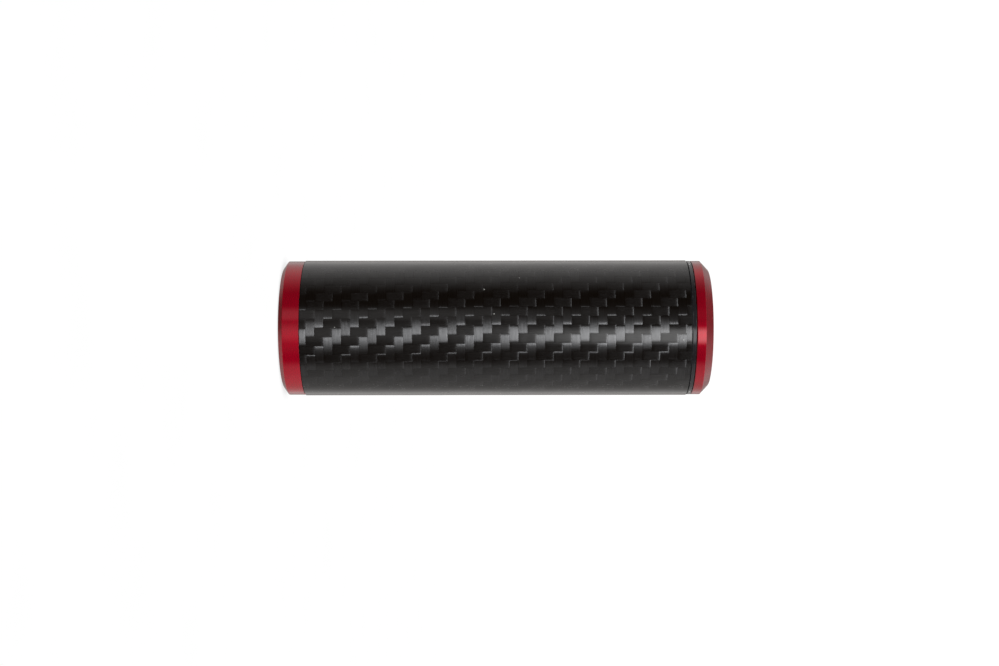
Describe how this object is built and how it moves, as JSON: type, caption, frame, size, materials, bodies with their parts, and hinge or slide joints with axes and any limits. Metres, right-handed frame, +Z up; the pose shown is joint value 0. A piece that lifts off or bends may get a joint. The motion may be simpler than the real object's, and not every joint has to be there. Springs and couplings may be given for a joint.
{
  "type": "bear canister",
  "caption": "Upright carbon-fibre food canister with a bonded aluminium base cap and a lift-off aluminium lid held by coin-turned latches.",
  "frame": {"origin": "centre of the face that the canister stands on", "axes": "+Z up along the tube's axis, from the base cap to the lid; +Y through the first latch"},
  "size_m": [0.2029, 0.203, 0.6346],
  "materials": {
    "carbon": "clear-coated carbon-fibre twill, satin gloss",
    "red_anodised": "turned and red anodised",
    "black_anodised": "turned and black anodised",
    "adhesive": "black structural epoxy",
    "rubber_seal": "black rubber cord",
    "stainless": "turned and brushed stainless steel",
    "acetal": "natural acetal"
  },
  "bodies": {
    "canister": {"carbon_tube": "carbon", "bottom_cap": "red_anodised", "bottom_bond": "adhesive", "mouth_collar": "black_anodised", "mouth_bond": "adhesive"},
    "lid": {"lid": "red_anodised", "lid_seal": "rubber_seal", "latch_stop_pins": "stainless", "latch_bush_a": "acetal", "latch_bush_b": "acetal", "latch_bush_c": "acetal"},
    "latch_a": {"latch_screw_a": "stainless", "latch_arm_a": "stainless", "latch_nut_a": "stainless", "latch_thrust_washer_a": "acetal", "latch_spring_washer_a": "stainless", "latch_nut_washer_a": "stainless"},
    "latch_b": {"latch_screw_b": "stainless", "latch_arm_b": "stainless", "latch_nut_b": "stainless", "latch_thrust_washer_b": "acetal", "latch_spring_washer_b": "stainless", "latch_nut_washer_b": "stainless"},
    "latch_c": {"latch_screw_c": "stainless", "latch_arm_c": "stainless", "latch_nut_c": "stainless", "latch_thrust_washer_c": "acetal", "latch_spring_washer_c": "stainless", "latch_nut_washer_c": "stainless"}
  },
  "joints": [
    {"name": "lid_lift", "type": "slide", "parent": "canister", "child": "lid", "axis": [0, 0, 1], "range_m": [0, 0.24]},
    {"name": "latch_a_turn", "type": "hinge", "parent": "lid", "child": "latch_a", "pos_m": [0, 0.062, 0.614], "axis": [0, 0, -1], "range_deg": [0, 90]},
    {"name": "latch_b_turn", "type": "hinge", "parent": "lid", "child": "latch_b", "pos_m": [-0.05369, -0.031, 0.614], "axis": [0, 0, -1], "range_deg": [0, 90]},
    {"name": "latch_c_turn", "type": "hinge", "parent": "lid", "child": "latch_c", "pos_m": [0.05369, -0.031, 0.614], "axis": [0, 0, -1], "range_deg": [0, 90]}
  ]
}
